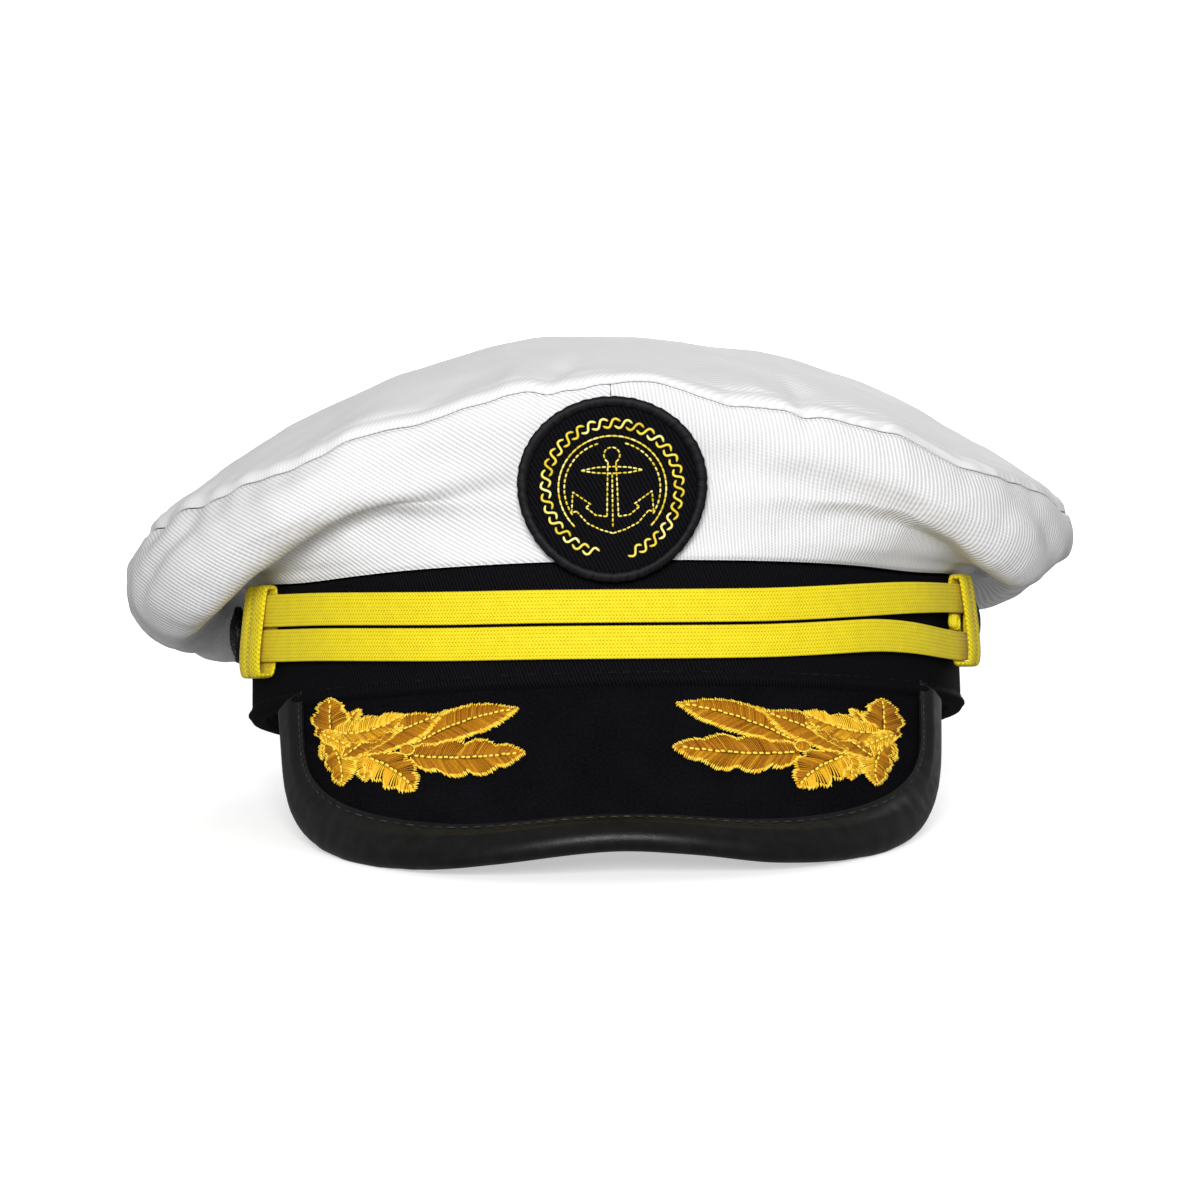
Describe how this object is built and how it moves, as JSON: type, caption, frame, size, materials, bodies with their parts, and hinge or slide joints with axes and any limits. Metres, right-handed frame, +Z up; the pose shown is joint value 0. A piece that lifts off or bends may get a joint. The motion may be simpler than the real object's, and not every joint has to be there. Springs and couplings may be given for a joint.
{
  "type": "peaked cap",
  "caption": "Soft-topped captain's cap with a black band, stiff peak, double braid chin strap with keepers, round embroidered badge and a snap strap at the back.",
  "frame": {"origin": "centre of the cap's bounding box, on the surface that it stands on", "axes": "+Z up, -Y towards the peak, +X towards the right-hand side seen from the front; the cap stands on the two corners of its peak and the back of its band"},
  "size_m": [0.2488, 0.2788, 0.1244],
  "materials": {
    "white_twill": "matt white cotton twill",
    "black_twill": "matt black twill",
    "black_felt": "matt black felted cover cloth",
    "black_leatherette": "satin black leatherette binding",
    "peak_board": "stiff black peak board",
    "yellow_braid": "bright yellow flat braid, slight silk sheen",
    "gold_embroidery": "gold satin-stitch embroidery in two shades",
    "yellow_embroidery": "pale yellow running-stitch embroidery",
    "black_embroidery": "black overlocked thread",
    "lining": "thin dark lining cloth",
    "buckram": "stiffened open-weave buckram",
    "black_plastic": "moulded black plastic",
    "steel": "plated steel",
    "label": "blank white woven label"
  },
  "bodies": {
    "root": {"crown_top_panel": "white_twill", "crown_front_left": "white_twill", "crown_front_right": "white_twill", "crown_back_right": "white_twill", "crown_back_left": "white_twill", "crown_edge_seam_tape": "white_twill", "hat_band": "black_twill", "band_seam_tape": "black_twill", "sweatband": "black_twill", "back_arch_tape": "black_twill", "badge_base": "black_twill", "badge_face": "black_twill", "peak_top_cover": "black_felt", "peak_under_cover": "black_felt", "peak_binding": "black_leatherette", "peak_board": "peak_board", "leaf_spray_left": "gold_embroidery", "leaf_spray_right": "gold_embroidery", "badge_rope_wreath": "yellow_embroidery", "badge_inner_ring": "yellow_embroidery", "badge_anchor": "yellow_embroidery", "badge_border": "black_embroidery", "lining_side": "lining", "lining_top": "lining", "front_stay": "buckram", "band_stiffener": "buckram", "snap_strap_tab": "black_plastic", "snap_strap_studs": "black_plastic", "blank_label": "label"},
    "chin_strap": {"chin_braid_upper": "yellow_braid", "chin_braid_lower": "yellow_braid", "strap_end_tab_left": "yellow_braid", "strap_end_tab_right": "yellow_braid"},
    "keeper_left": {"keeper_left": "yellow_braid"},
    "keeper_right": {"keeper_right": "yellow_braid"},
    "button_left": {"side_button_left": "black_embroidery", "button_shank_left": "steel", "button_washer_left": "steel"},
    "button_right": {"side_button_right": "black_embroidery", "button_shank_right": "steel", "button_washer_right": "steel"},
    "snap_flap": {"snap_strap_holes": "black_plastic"}
  },
  "joints": [
    {"name": "chin_strap_swing", "type": "hinge", "parent": "root", "child": "chin_strap", "pos_m": [0.00079, -0.00751, 0.04606], "axis": [1, 0, 0], "range_deg": [-0.8, 1]},
    {"name": "keeper_left_slide", "type": "hinge", "parent": "chin_strap", "child": "keeper_left", "pos_m": [0.00079, -0.00156, 0.04529], "axis": [0, 0.1279, 0.9918], "range_deg": [0, 24]},
    {"name": "keeper_right_slide", "type": "hinge", "parent": "chin_strap", "child": "keeper_right", "pos_m": [0.00079, -0.00156, 0.04529], "axis": [0, 0.1279, 0.9918], "range_deg": [-24, 0]},
    {"name": "button_left_spin", "type": "hinge", "parent": "root", "child": "button_left", "pos_m": [-0.09671, -0.00751, 0.04606], "axis": [-1, 0, 0], "continuous": true},
    {"name": "button_right_spin", "type": "hinge", "parent": "root", "child": "button_right", "pos_m": [0.09829, -0.00751, 0.04606], "axis": [1, 0, 0], "continuous": true},
    {"name": "snap_strap_bend", "type": "hinge", "parent": "root", "child": "snap_flap", "pos_m": [-0.02963, 0.09223, 0.01021], "axis": [0, 0.2138, 0.9769], "range_deg": [0, 55]}
  ]
}
